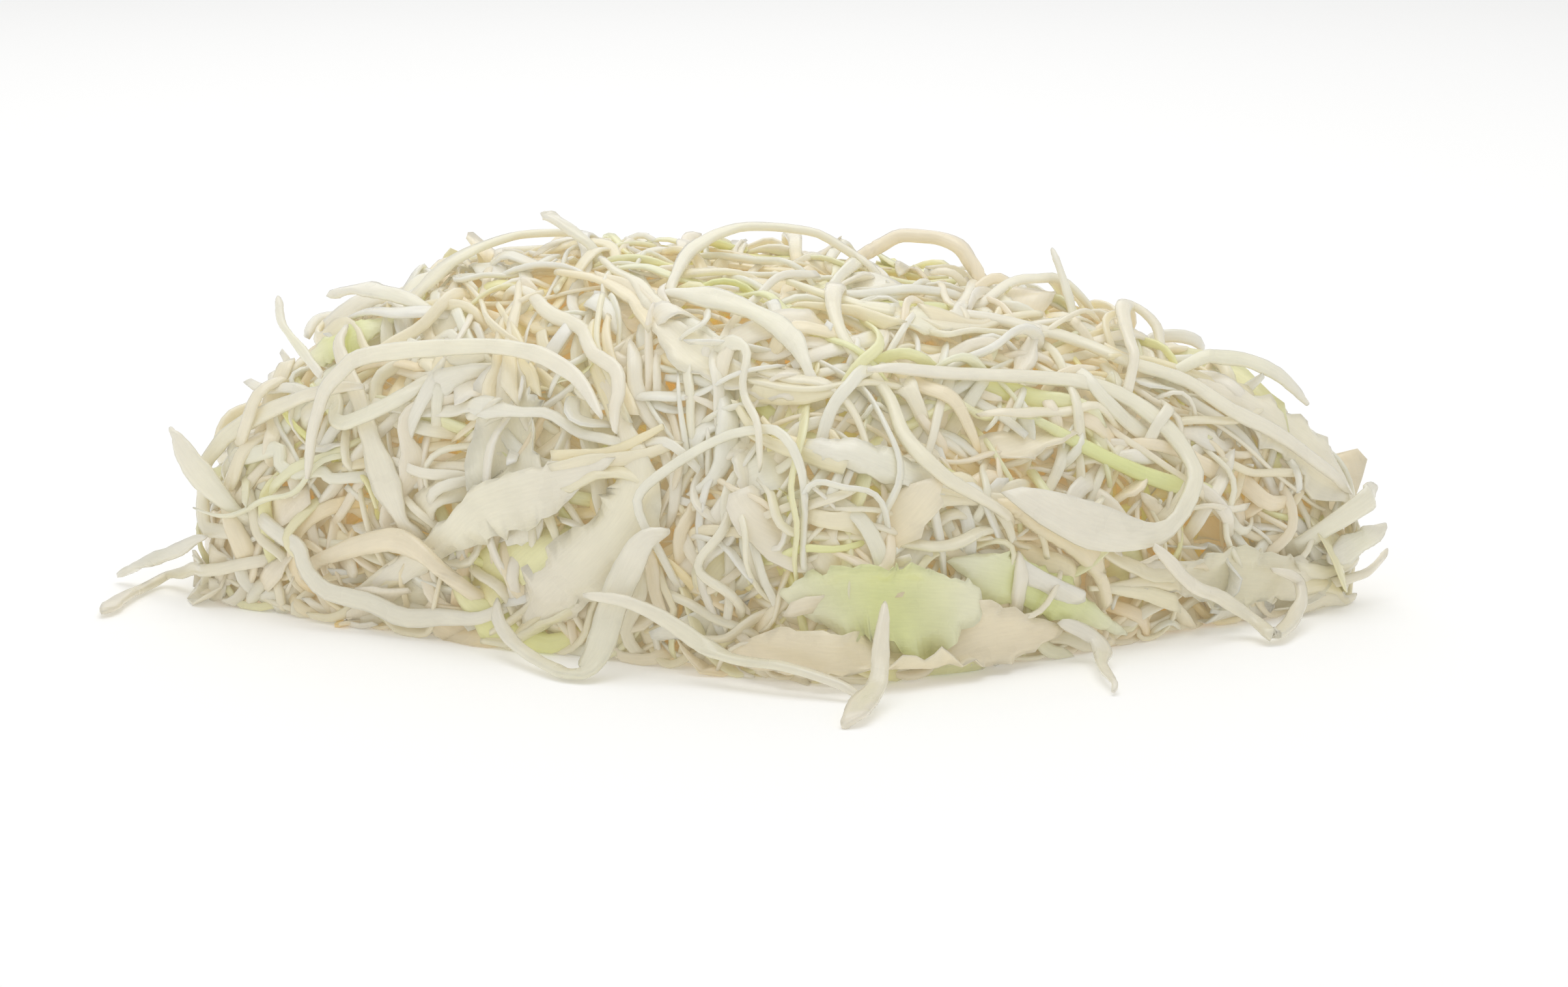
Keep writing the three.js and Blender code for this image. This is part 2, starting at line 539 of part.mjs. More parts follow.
const pile = new LaidPile();
for (const description of [...strewnShreds(), ...PLACED]) {
  const shred = new Shred(description);
  shred.restOn(pile);
  shred.coverOver(pile);
  heap.add(shred.mesh());
}

export default heap;
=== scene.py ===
"""A heap of shredded white cabbage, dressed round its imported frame.

The frame holds each loose shred as a plain solid, and one plain mass for the shreds that are packed
under them. Here each plain shred becomes a fine one on the same line. The mass becomes a tangle, as a
shell round a hollow: chains of beads are grown by chance near its surface and eased apart for a set
number of steps, after which some still pass through others. Then every chain is given its flesh from
a few straight shreds that are modelled first.

Lengths are in millimetres until a mesh is made, because a shred is a matter of millimetres.
"""

import json
import logging
import math
from collections import deque
from dataclasses import dataclass, field
from enum import Enum

import bpy
import numpy as np
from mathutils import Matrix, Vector
from mathutils.bvhtree import BVHTree

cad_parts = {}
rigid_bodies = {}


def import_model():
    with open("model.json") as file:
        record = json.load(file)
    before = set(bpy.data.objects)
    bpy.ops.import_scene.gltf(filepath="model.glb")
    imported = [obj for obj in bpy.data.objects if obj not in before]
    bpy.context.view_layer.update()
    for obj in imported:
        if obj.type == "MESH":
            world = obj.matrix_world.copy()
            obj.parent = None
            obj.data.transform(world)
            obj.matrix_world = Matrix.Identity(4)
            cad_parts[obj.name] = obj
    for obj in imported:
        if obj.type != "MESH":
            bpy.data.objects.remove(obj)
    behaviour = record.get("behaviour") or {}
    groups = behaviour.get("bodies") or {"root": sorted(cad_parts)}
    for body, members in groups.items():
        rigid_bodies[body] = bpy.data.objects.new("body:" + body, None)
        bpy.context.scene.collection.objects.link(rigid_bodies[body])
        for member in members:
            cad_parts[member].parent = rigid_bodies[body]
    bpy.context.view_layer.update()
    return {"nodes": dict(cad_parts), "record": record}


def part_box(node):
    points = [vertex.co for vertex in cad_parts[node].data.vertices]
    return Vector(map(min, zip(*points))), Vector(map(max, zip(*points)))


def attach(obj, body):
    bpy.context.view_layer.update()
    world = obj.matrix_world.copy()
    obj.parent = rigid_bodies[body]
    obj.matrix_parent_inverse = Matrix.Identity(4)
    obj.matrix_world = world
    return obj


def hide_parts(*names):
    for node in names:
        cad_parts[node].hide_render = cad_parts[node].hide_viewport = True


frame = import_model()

MM = 0.001
SEED = 7
MASS_NODE = "packed_shreds"
log = logging.getLogger("cabbage")


# ---- Colour, nodes and finishes ------------------------------------------------------------------


def linear(hex_colour: str) -> tuple[float, float, float, float]:
    """Turns an sRGB colour into the linear one that a shader takes.

    Args:
        hex_colour: Six hex digits after a hash.

    Returns:
        Linear red, green and blue, and an alpha of 1.
    """
    parts = [int(hex_colour[i : i + 2], 16) / 255 for i in (1, 3, 5)]
    red, green, blue = (c / 12.92 if c <= 0.04045 else ((c + 0.055) / 1.055) ** 2.4 for c in parts)
    return red, green, blue, 1.0


def add_node(
    tree: bpy.types.NodeTree, kind: str, settings: dict | None = None, inputs: dict | None = None
) -> bpy.types.Node:
    """Adds a node to a material.

    Args:
        tree: The material's nodes.
        kind: The node's type.
        settings: The node's own properties, by name.
        inputs: Values or output sockets to link, by input name or number.

    Returns:
        The new node.
    """
    node = tree.nodes.new(kind)
    for key, value in (settings or {}).items():
        setattr(node, key, value)
    for key, value in (inputs or {}).items():
        if isinstance(value, bpy.types.NodeSocket):
            tree.links.new(value, node.inputs[key])
        else:
            node.inputs[key].default_value = value
    return node


@dataclass(frozen=True)
class LeafFinish:
    """Fresh white cabbage leaf, cut with a blade and still wet.

    The tissue is full of air and water, so light goes a millimetre or two into it. The cut faces are
    dull and streaked with fibres, and a film of juice makes small sharp highlights.

    Three things are painted light and shade, chosen for the look and not how cabbage behaves: the warmer
    colour of the shreds that lie deep and low is painted shade, their glow is painted light, and the darker
    tone towards the foot of the heap is painted shade. They put some of the light and shade of one kind of
    lighting into the material, and stay there in any other.
    """

    name: str
    pale: str
    # The colour that the shade mixes towards: a rib's own cream, and painted shade deep or low in the heap.
    deep: str
    green: str
    roughness: float = 0.34
    scatter_mm: float = 1.2
    fibre_mm: float = 0.35
    mottle_mm: float = 5.0
    grain_mm: float = 0.45
    relief_mm: float = 0.05
    uneven_wetness: float = 0.12
    ior: float = 1.38
    scatter_weight: float = 0.2
    scatter_colour: tuple[float, float, float] = (1.0, 0.92, 0.76)
    film: float = 0.6
    film_roughness: float = 0.16
    # Painted light: how strongly a shred glows, at no shade and at full shade.
    glow: tuple[float, float] = (0.06, 0.23)
    # Painted shade: the colour's value at the floor, and the height where the darkening ends.
    foot_shade_value: float = 0.84
    foot_mm: float = 48.0

    def make(self) -> bpy.types.Material:
        """Builds the finish as a material."""
        material = bpy.data.materials.new(self.name)
        material.use_nodes = True
        tree = material.node_tree
        shader = tree.nodes["Principled BSDF"]
        shader.inputs["IOR"].default_value = self.ior
        shader.inputs["Subsurface Weight"].default_value = self.scatter_weight
        shader.inputs["Subsurface Radius"].default_value = self.scatter_colour
        shader.inputs["Subsurface Scale"].default_value = self.scatter_mm * MM
        shader.inputs["Coat Weight"].default_value = self.film
        shader.inputs["Coat Roughness"].default_value = self.film_roughness
        colour = self.colour(tree)
        tree.links.new(colour, shader.inputs["Base Color"])
        # Painted light: each shred glows in its own colour, more where its shade is deep.
        tree.links.new(colour, shader.inputs["Emission Color"])
        tree.links.new(self.painted_glow(tree), shader.inputs["Emission Strength"])
        wet = self.noise(tree, self.mottle_mm, detail=2.0)
        rough = add_node(tree, "ShaderNodeMapRange", inputs={
            "Value": wet, "From Min": 0.3, "From Max": 0.7,
            "To Min": self.roughness - self.uneven_wetness,
            "To Max": self.roughness + self.uneven_wetness})
        tree.links.new(rough.outputs["Result"], shader.inputs["Roughness"])
        bump = add_node(tree, "ShaderNodeBump", inputs={
            "Height": self.relief(tree), "Distance": self.relief_mm * MM, "Strength": 0.8})
        tree.links.new(bump.outputs["Normal"], shader.inputs["Normal"])
        return material

    def painted_glow(self, tree: bpy.types.NodeTree) -> bpy.types.NodeSocket:
        """Painted light: a faint glow of the shred's own, stronger where its shade is deep.

        It stands in for light that scatters from shred to shred, and keeps the gaps from going too dark.
        Real light grows weaker with depth, so this is a stand-in and not a model of it.
        """
        shade = add_node(tree, "ShaderNodeAttribute", {"attribute_name": "shade"})
        return add_node(tree, "ShaderNodeMapRange", inputs={
            "Value": shade.outputs["Fac"], "To Min": self.glow[0], "To Max": self.glow[1],
        }).outputs["Result"]

    def noise(self, tree: bpy.types.NodeTree, size_mm: float, detail: float) -> bpy.types.NodeSocket:
        """A soft noise in the heap's own space, with features of a size in millimetres."""
        place = add_node(tree, "ShaderNodeTexCoord")
        return add_node(tree, "ShaderNodeTexNoise", inputs={
            "Vector": place.outputs["Object"], "Scale": 1 / (size_mm * MM), "Detail": detail,
        }).outputs["Fac"]

    def fibres(self, tree: bpy.types.NodeTree) -> bpy.types.NodeSocket:
        """Fine streaks that run along each shred, a fibre's width across."""
        along = add_node(tree, "ShaderNodeUVMap", {"uv_map": "AlongShred"})
        stretch = add_node(tree, "ShaderNodeMapping", inputs={
            "Vector": along.outputs["UV"], "Scale": (0.12 / self.fibre_mm, 1 / self.fibre_mm, 1)})
        return add_node(tree, "ShaderNodeTexNoise", inputs={
            "Vector": stretch.outputs["Vector"], "Scale": 1.0, "Detail": 1.5}).outputs["Fac"]

    def colour(self, tree: bpy.types.NodeTree) -> bpy.types.NodeSocket:
        """White to warm by the shred's shade, then green where it is green, then mottled.

        The shade is the leaf's own tone with painted shade by depth and height;
        the foot is darkened with painted shade too.
        """
        shade = add_node(tree, "ShaderNodeAttribute", {"attribute_name": "shade"})
        green = add_node(tree, "ShaderNodeAttribute", {"attribute_name": "green"})
        warm = add_node(tree, "ShaderNodeMix", {"data_type": "RGBA"}, {
            "Factor": shade.outputs["Fac"], 6: linear(self.pale), 7: linear(self.deep)})
        leafy = add_node(tree, "ShaderNodeMix", {"data_type": "RGBA"}, {
            "Factor": green.outputs["Fac"], 6: warm.outputs[2], 7: linear(self.green)})
        streak = add_node(tree, "ShaderNodeMath", {"operation": "MULTIPLY_ADD"}, {
            0: self.fibres(tree), 1: 0.10, 2: -0.05})
        mottle = add_node(tree, "ShaderNodeMath", {"operation": "MULTIPLY_ADD"}, {
            0: self.noise(tree, self.mottle_mm, 3.0), 1: 0.16, 2: 0.92})
        value = add_node(tree, "ShaderNodeMath", inputs={0: streak.outputs[0], 1: mottle.outputs[0]})
        # The mottled value, darkened with painted shade towards the foot.
        tone_and_foot_shade = add_node(tree, "ShaderNodeMath", {"operation": "MULTIPLY"}, {
            0: value.outputs[0], 1: self.painted_foot_shade(tree)})
        varied = add_node(tree, "ShaderNodeHueSaturation", inputs={
            "Color": leafy.outputs[2], "Value": tone_and_foot_shade.outputs[0]})
        return varied.outputs["Color"]

    def painted_foot_shade(self, tree: bpy.types.NodeTree) -> bpy.types.NodeSocket:
        """Painted shade: darker towards the foot of the heap, chosen for the look and not the leaf's own tone.
        """
        place = add_node(tree, "ShaderNodeTexCoord")
        height = add_node(tree, "ShaderNodeSeparateXYZ", inputs={"Vector": place.outputs["Object"]})
        return add_node(tree, "ShaderNodeMapRange", inputs={
            "Value": height.outputs["Z"], "From Max": self.foot_mm * MM, "To Min": self.foot_shade_value,
        }).outputs["Result"]

    def relief(self, tree: bpy.types.NodeTree) -> bpy.types.NodeSocket:
        """Fibres and a finer grain, as one height."""
        return add_node(tree, "ShaderNodeMath", inputs={
            0: self.fibres(tree), 1: self.noise(tree, self.grain_mm, 2.0)}).outputs[0]


# Each finish's pale colour is the leaf's own; its deep one is a rib's cream and painted shade.
WHITE_LEAF = LeafFinish("white_cabbage_leaf", pale="#f6f3e7", deep="#eecc84", green="#eef0a2")
CREAM_RIB = LeafFinish("cream_cabbage_rib", pale="#f5f0e2", deep="#ecd4a0", green="#e6e9a0",
                       roughness=0.32, scatter_mm=1.6)
GREEN_LEAF = LeafFinish("pale_green_cabbage_leaf", pale="#f5f4e2", deep="#ebdc9e", green="#e2e98e")


# ---- Straight shreds, to be copied along lines ---------------------------------------------------


def select_edges(keep) -> None:
    """Selects the edges of the mesh in edit mode that a test keeps, and nothing else.

    Args:
        keep: Takes an edge's two ends as vectors and returns whether it is selected.
    """
    bpy.ops.mesh.select_all(action="DESELECT")
    bpy.ops.object.mode_set(mode="OBJECT")
    mesh = bpy.context.object.data
    for edge in mesh.edges:
        edge.select = keep(*(mesh.vertices[v].co for v in edge.vertices))
    bpy.ops.object.mode_set(mode="EDIT")


@dataclass
class StraightShred:
    """One straight shred in a box of two units each way, to be copied along many lines.

    The cut makes a strip with square sides, whose edges soon go soft and round.
    """

    segments: int
    panels: int = 1
    softening: float = 0.45

    def __post_init__(self) -> None:
        """Models the shred and reads its mesh."""
        bpy.ops.object.select_all(action="DESELECT")
        bpy.ops.mesh.primitive_cube_add(size=2)
        shred = bpy.context.object
        bpy.ops.object.mode_set(mode="EDIT")
        bpy.ops.mesh.select_mode(type="EDGE")
        select_edges(lambda a, b: abs(a.x - b.x) > 1)
        bpy.ops.mesh.bevel(offset=self.softening, segments=1)
        if self.panels > 1:
            select_edges(lambda a, b: abs(a.y - b.y) > 0.5)
            bpy.ops.mesh.subdivide(number_cuts=self.panels - 1)
        select_edges(lambda a, b: abs(a.x - b.x) > 1)
        bpy.ops.mesh.subdivide(number_cuts=self.segments - 1)
        bpy.ops.object.mode_set(mode="OBJECT")
        self.read(shred.data)
        bpy.data.objects.remove(shred)

    def read(self, mesh: bpy.types.Mesh) -> None:
        """Keeps the mesh as arrays: each corner's ring, its place in the section, and the faces."""
        places = np.empty(len(mesh.vertices) * 3)
        mesh.vertices.foreach_get("co", places)
        places = places.reshape(-1, 3)
        self.ring = np.rint((places[:, 0] + 1) / 2 * self.segments).astype(int)
        self.across = places[:, 1]
        self.through = places[:, 2]
        self.corners = np.empty(len(mesh.loops), int)
        mesh.loops.foreach_get("vertex_index", self.corners)
        self.sides = np.empty(len(mesh.polygons), int)
        mesh.polygons.foreach_get("loop_total", self.sides)


# ---- Lines that shreds lie along -----------------------------------------------------------------


def unit(vectors: np.ndarray) -> np.ndarray:
    """The same vectors, each one long."""
    return vectors / np.maximum(np.linalg.norm(vectors, axis=-1, keepdims=True), 1e-12)


def dot(a: np.ndarray, b: np.ndarray) -> np.ndarray:
    """The dot product of two rows of vectors, kept as a column."""
    return (a * b).sum(-1, keepdims=True)


def sample(points: np.ndarray, count: int) -> np.ndarray:
    """Points along a smooth curve through others.

    Args:
        points: The points to pass through, along the first axis.
        count: How many points to return, at even shares of the way.

    Returns:
        The new points, the first and last of them the same as before.
    """
    places = np.linspace(0, len(points) - 1, count)
    before = np.clip(places.astype(int), 0, len(points) - 2)
    t = (places - before).reshape(-1, *[1] * (points.ndim - 1))
    ends = np.concatenate([2 * points[:1] - points[1:2], points, 2 * points[-1:] - points[-2:-1]])
    a, b, c, d = (ends[before + k] for k in range(4))
    return 0.5 * (2 * b + (c - a) * t + (2 * a - 5 * b + 4 * c - d) * t**2
                  + (3 * b - a - 3 * c + d) * t**3)


def uneven(rng: np.random.Generator, rows: int, rings: int, every: int) -> np.ndarray:
    """Random values between -1 and 1 that run straight from one knot to the next.

    Args:
        rng: Where the chance comes from.
        rows: How many shreds.
        rings: How many values along each shred.
        every: How many rings there are from one knot to the next.

    Returns:
        A value for each shred, ring and edge.
    """
    knots = rng.uniform(-1, 1, (rows, rings // every + 2, 2))
    place = np.arange(rings) / every
    before = place.astype(int)
    part = (place - before)[:, None]
    return knots[:, before] * (1 - part) + knots[:, before + 1] * part


def lopsided(rng: np.random.Generator, rows: int, rings: int, amount: float | np.ndarray) -> np.ndarray:
    """How far each edge is from the middle line, as a share of half the width.

    One edge bulges more than the other, and both run a little ragged.

    Args:
        rng: Where the chance comes from.
        rows: How many shreds.
        rings: How many rings each shred has.
        amount: How lopsided a shred may be, for all or for each.

    Returns:
        A share for each shred, ring and edge.
    """
    amount = np.broadcast_to(amount, rows)[:, None, None]
    lean = rng.uniform(-1, 1, (rows, 1, 1)) * [1, -1]
    broad = 0.5 * uneven(rng, rows, rings, max(3, rings // 5))
    return 1 + amount * (lean + broad + 0.25 * uneven(rng, rows, rings, 1))


@dataclass
class Lines:
    """Where a batch of shreds lies and how wide each one is: a row for a shred, a column for a ring."""

    centre: np.ndarray
    side: np.ndarray
    width: np.ndarray
    thickness: np.ndarray
    # The leaf's own tone, with painted shade where a packed shred lies deep or low; it also sets the painted
    # glow.
    shade: np.ndarray
    green: np.ndarray
    arch: np.ndarray
    edges: np.ndarray
    ruffle: np.ndarray
    slant: np.ndarray
    phase: np.ndarray

    RUFFLE_MM = 6.0
    SLANT_WIDTHS = 1.5
    ABOVE_MM = 0.1

    def flesh(self, name: str, straight: StraightShred, material: bpy.types.Material) -> bpy.types.Object:
        """Bends a copy of the straight shred along every line, as one mesh.

        Args:
            name: The new object's name.
            straight: The shred to copy, with a ring for each column of the lines.
            material: The finish.

        Returns:
            The new object, at the origin.
        """
        ring, y, z = straight.ring, straight.across, straight.through
        along = unit(np.gradient(self.centre, axis=1))
        side = unit(self.side - along * dot(self.side, along))
        out = np.cross(along, side)
        step = np.linalg.norm(np.diff(self.centre, axis=1), axis=-1)
        travelled = np.concatenate([np.zeros((len(step), 1)), np.cumsum(step, axis=1)], axis=1)
        half = self.width[:, ring] / 2
        wave = np.sin(travelled[:, ring] * 2 * math.pi / self.RUFFLE_MM + self.phase[:, None] + 1.5 * y)
        rise = (z * self.thickness[:, ring] / 2
                + self.arch[:, ring] * (1 - y**2)
                + self.ruffle[:, None] * half * y**2 * wave)
        half = half * np.where(y < 0, self.edges[:, ring, 0], self.edges[:, ring, 1])
        fade = self.SLANT_WIDTHS * self.width[:, ring]
        left = travelled[:, -1:] - travelled[:, ring]
        reach = half * y * (self.slant[:, :1] * np.clip(1 - travelled[:, ring] / fade, 0, 1)
                            + self.slant[:, 1:] * np.clip(1 - left / fade, 0, 1))
        places = (self.centre[:, ring] + side[:, ring] * (half * y)[..., None]
                  + out[:, ring] * rise[..., None] + along[:, ring] * reach[..., None])
        lift = np.zeros(travelled.shape)
        np.maximum.at(lift, (slice(None), ring), self.ABOVE_MM - places[..., 2])
        places[..., 2] += lift[:, ring]
        along_mm = travelled[:, ring] + 40 * self.phase[:, None]
        across_mm = half * y + z * self.thickness[:, ring] / 2
        uv = np.stack([along_mm, across_mm], axis=-1)
        return self.as_object(name, straight, material, places * MM, uv)

    def as_object(self, name: str, straight: StraightShred, material: bpy.types.Material,
                  places: np.ndarray, uv: np.ndarray) -> bpy.types.Object:
        """Makes the mesh of a batch, with its map and its shade and green on every vertex."""
        count, size = places.shape[:2]
        mesh = bpy.data.meshes.new(name)
        mesh.vertices.add(count * size)
        mesh.vertices.foreach_set("co", places.astype(np.float32).ravel())
        corners = (straight.corners + size * np.arange(count)[:, None]).ravel()
        sides = np.tile(straight.sides, count)
        mesh.loops.add(len(corners))
        mesh.loops.foreach_set("vertex_index", corners.astype(np.int32))
        mesh.polygons.add(len(sides))
        starts = np.cumsum(sides) - sides
        mesh.polygons.foreach_set("loop_start", starts.astype(np.int32))
        mesh.polygons.foreach_set("use_smooth", np.ones(len(sides), bool))
        mesh.update(calc_edges=True)
        layer = mesh.uv_layers.new(name="AlongShred")
        layer.data.foreach_set("uv", uv.reshape(-1, 2)[corners].astype(np.float32).ravel())
        # The shade carries painted shade and sets the painted glow; the green is the leaf's own.
        for key in ("shade", "green"):
            values = getattr(self, key)[:, straight.ring].astype(np.float32).ravel()
            mesh.attributes.new(key, "FLOAT", "POINT").data.foreach_set("value", values)
        mesh.materials.append(material)
        made = bpy.data.objects.new(name, mesh)
        bpy.context.scene.collection.objects.link(made)
        return made


# ---- The shreds that the frame names -------------------------------------------------------------


class Slot(Enum):
    """The record's material slots."""

    MASS = "packed_mass"
    WHITE = "white_leaf"
    RIB = "cream_rib"
    GREEN = "green_leaf"


@dataclass
class NamedShred:
    """A shred of the frame, as the line of rings that its plain solid is made of."""

    node: str
    slot: Slot
    centre: np.ndarray = field(init=False)
    side: np.ndarray = field(init=False)
    width: np.ndarray = field(init=False)
    thickness: float = field(init=False)
    is_flake: bool = field(init=False)
    tines: list[np.ndarray] = field(init=False, default_factory=list)

    LEAF_MM = 0.9
    STRAND_CORNERS = 4
    ON_HEAP_MM = 3.0
    STEPS_IN = 4
    STEP_IN_MM = 2.2
    FLOOR_MM = 1.0
    TINE_MM = 1.9
    TINE_RINGS = 25

    def __post_init__(self) -> None:
        """Reads the rings out of the node's mesh."""
        points, rings = self.rings()
        centre, side, width, depth = [], [], [], []
        for ring in rings:
            corners = points[ring]
            centre.append(corners.mean(0))
            _, _, axes = np.linalg.svd(corners - centre[-1])
            axis = axes[0] if not side or axes[0] @ side[-1] >= 0 else -axes[0]
            side.append(axis)
            width.append(np.ptp((corners - centre[-1]) @ axis))
            depth.append(np.ptp((corners - centre[-1]) @ axes[1]))
        self.centre, self.side = np.array(centre), np.array(side)
        self.width = np.array(width)
        self.is_flake = len(rings[0]) > self.STRAND_CORNERS
        self.thickness = self.LEAF_MM if self.is_flake else float(np.median(depth))

    def rings(self) -> tuple[np.ndarray, list[list[int]]]:
        """Walks the node's mesh from one pointed end to the other, a ring at a time.

        Returns:
            The mesh's points in millimetres, and the points of each ring in order.
        """
        mesh = frame["nodes"][self.node].data
        places = np.array([v.co for v in mesh.vertices]) / MM
        points, merged = np.unique(places.round(4), axis=0, return_inverse=True)
        merged = merged.ravel()
        beside: list[set[int]] = [set() for _ in points]
        for edge in mesh.edges:
            a, b = (int(merged[v]) for v in edge.vertices)
            beside[a].add(b)
            beside[b].add(a)
        levels = self.walk(beside, self.walk(beside, 0)[-1][0])
        return points, levels[1:-1]

    @staticmethod
    def walk(beside: list[set[int]], start: int) -> list[list[int]]:
        """Groups points by how many edges they are from the start."""
        seen = {start: 0}
        levels = [[start]]
        queue = deque([start])
        while queue:
            here = queue.popleft()
            for there in sorted(beside[here] - seen.keys()):
                seen[there] = seen[here] + 1
                if seen[there] == len(levels):
                    levels.append([])
                levels[seen[there]].append(there)
                queue.append(there)
        return levels

    def carry_ends_in(self, mould: "Mould") -> None:
        """Carries each end that lies on the heap a little way into it, as if it came out of it."""
        for _ in range(2):
            self.centre, self.side, self.width = self.centre[::-1], self.side[::-1], self.width[::-1]
            tip = self.centre[-1]
            if self.is_flake or mould.distance(tip) > self.ON_HEAP_MM or tip[2] < self.ON_HEAP_MM:
                continue
            heading = unit(tip - self.centre[-2])
            for _ in range(self.STEPS_IN):
                heading = unit(heading - 0.55 * mould.outward(self.centre[-1]))
                step = self.centre[-1] + heading * self.STEP_IN_MM
                step[2] = max(step[2], self.FLOOR_MM)
                self.centre = np.vstack([self.centre, step])
                self.side = np.vstack([self.side, self.side[-1]])
                self.width = np.append(self.width, self.width[-3:].mean())

    def split_ends(self, mould: "Mould", rng: np.random.Generator) -> None:
        """Lets thin strands run out of both ends of a white flake, where the cuts have split the leaf."""
        for way in (1, -1) if self.is_flake and self.slot is Slot.WHITE else ():
            centre, side, width = self.centre[::way], self.side[::way], self.width[::way]
            for share in rng.permutation([-0.34, 0.0, 0.34])[: rng.integers(2, 4)]:
                line = [centre[k] + side[k] * width[k] * share for k in (3, 2, 1)]
                heading = unit(line[2] - line[0] + side[0] * share * 4)
                hold = np.clip(mould.distance(line[-1]), 0.4, 2.5)
                turn = rng.uniform(-0.16, 0.16)
                for _ in range(rng.integers(4, 11)):
                    outward = mould.outward(line[-1])
                    turn = 0.9 * turn + rng.normal(0, 0.07)
                    heading = unit(heading + turn * np.cross(outward, heading))
                    step = line[-1] + heading * self.TINE_MM
                    step -= mould.outward(step) * 0.6 * (mould.distance(step) - hold)
                    step[2] = max(step[2], self.FLOOR_MM)
                    line.append(step)
                self.tines.append(sample(np.array(line), self.TINE_RINGS))

    def dress_tines(self, straight: StraightShred, material: bpy.types.Material, mould: "Mould",
                    rng: np.random.Generator) -> bpy.types.Object:
        """Makes the thin strands at the flake's ends, as one piece."""
        centre = np.stack(self.tines)
        n, rings = centre.shape[:2]
        share = np.linspace(0, 1, rings)
        along = unit(np.gradient(centre, axis=1))
        side = unit(np.cross(mould.outward(centre), along) + 0.5 * rng.normal(size=(n, 1, 3)))
        lines = Lines(
            centre=centre, side=side,
            width=rng.uniform(1.8, 3.0, (n, 1)) * (1.15 - 0.75 * share),
            thickness=np.full((n, rings), 0.9),
            # The tines' own tone; through the material it also sets their painted glow.
            shade=np.full((n, rings), 0.15) + rng.uniform(0, 0.2, (n, 1)),
            green=np.full((n, rings), 0.08) + rng.uniform(0, 0.1, (n, 1)),
            arch=np.zeros((n, rings)),
            edges=lopsided(rng, n, rings, 0.16),
            ruffle=np.full(n, 0.05), slant=rng.uniform(-1.6, 1.6, (n, 2)), phase=rng.uniform(0, 6, n))
        return self.hand_over(lines.flesh(f"tines_{self.node}", straight, material))

    def hand_over(self, piece: bpy.types.Object) -> bpy.types.Object:
        """Hangs a piece on the frame's root body and hides the plain node that it stands for."""
        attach(piece, "root")
        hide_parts(self.node)
        return piece

    def beads(self, gap: float) -> np.ndarray:
        """Points all over the shred, about a gap apart, that other shreds keep clear of."""
        length = np.linalg.norm(np.diff(self.centre, axis=0), axis=1).sum()
        count = max(3, round(length / gap))
        centre, side = sample(self.centre, count), unit(sample(self.side, count))
        width = sample(self.width, count)
        rows = max(1, round(width.max() / gap))
        shares = (np.arange(rows) + 0.5) / rows - 0.5
        sheet = [centre + side * (width * share)[:, None] for share in shares]
        return np.concatenate([*sheet, *(sample(tine, 10) for tine in self.tines)])

    def dress(self, straight: StraightShred, material: bpy.types.Material,
              rng: np.random.Generator) -> bpy.types.Object:
        """Makes the fine shred that stands for the plain one.

        Args:
            straight: The shred to bend.
            material: The finish.
            rng: Where the chance comes from.

        Returns:
            The new piece.
        """
        count = straight.segments + 1
        share = np.linspace(0, 1, count)
        ends = np.clip(np.minimum(share, 1 - share) / 0.06, 0, 1)
        width = sample(self.width, count) * (0.45 + 0.55 * np.sqrt(ends))
        swell = 0.16 if self.is_flake else 0.1
        width *= 1 + swell * np.sin(share * rng.uniform(8, 16) + rng.uniform(0, 6))
        # Each kind's own tone, white to cream; through the material it also sets the painted glow.
        shade = {Slot.WHITE: 0.04, Slot.RIB: 0.3, Slot.GREEN: 0.12}[self.slot] + rng.uniform(0, 0.14)
        green = {Slot.WHITE: 0.06, Slot.RIB: 0.0, Slot.GREEN: 0.65}[self.slot] + rng.uniform(0, 0.12)
        lines = Lines(
            centre=sample(self.centre, count)[None],
            side=unit(sample(self.side, count))[None],
            width=width[None],
            thickness=np.full((1, count), self.thickness) * (0.6 + 0.4 * ends),
            shade=np.full((1, count), shade),
            green=green * (0.2 + 0.8 * np.sin(math.pi * share) ** 2)[None],
            arch=(self.is_flake * width * (0.12 + 0.1 * np.sin(7 * share + rng.uniform(0, 6))))[None],
            edges=lopsided(rng, 1, count, 0.5 if self.is_flake else 0.16),
            ruffle=np.array([0.2 if self.is_flake else 0.04]),
            slant=rng.uniform(-1.6, 1.6, (1, 2)),
            phase=rng.uniform(0, 6, 1),
        )
        return self.hand_over(lines.flesh(f"fine_{self.node}", straight, material))


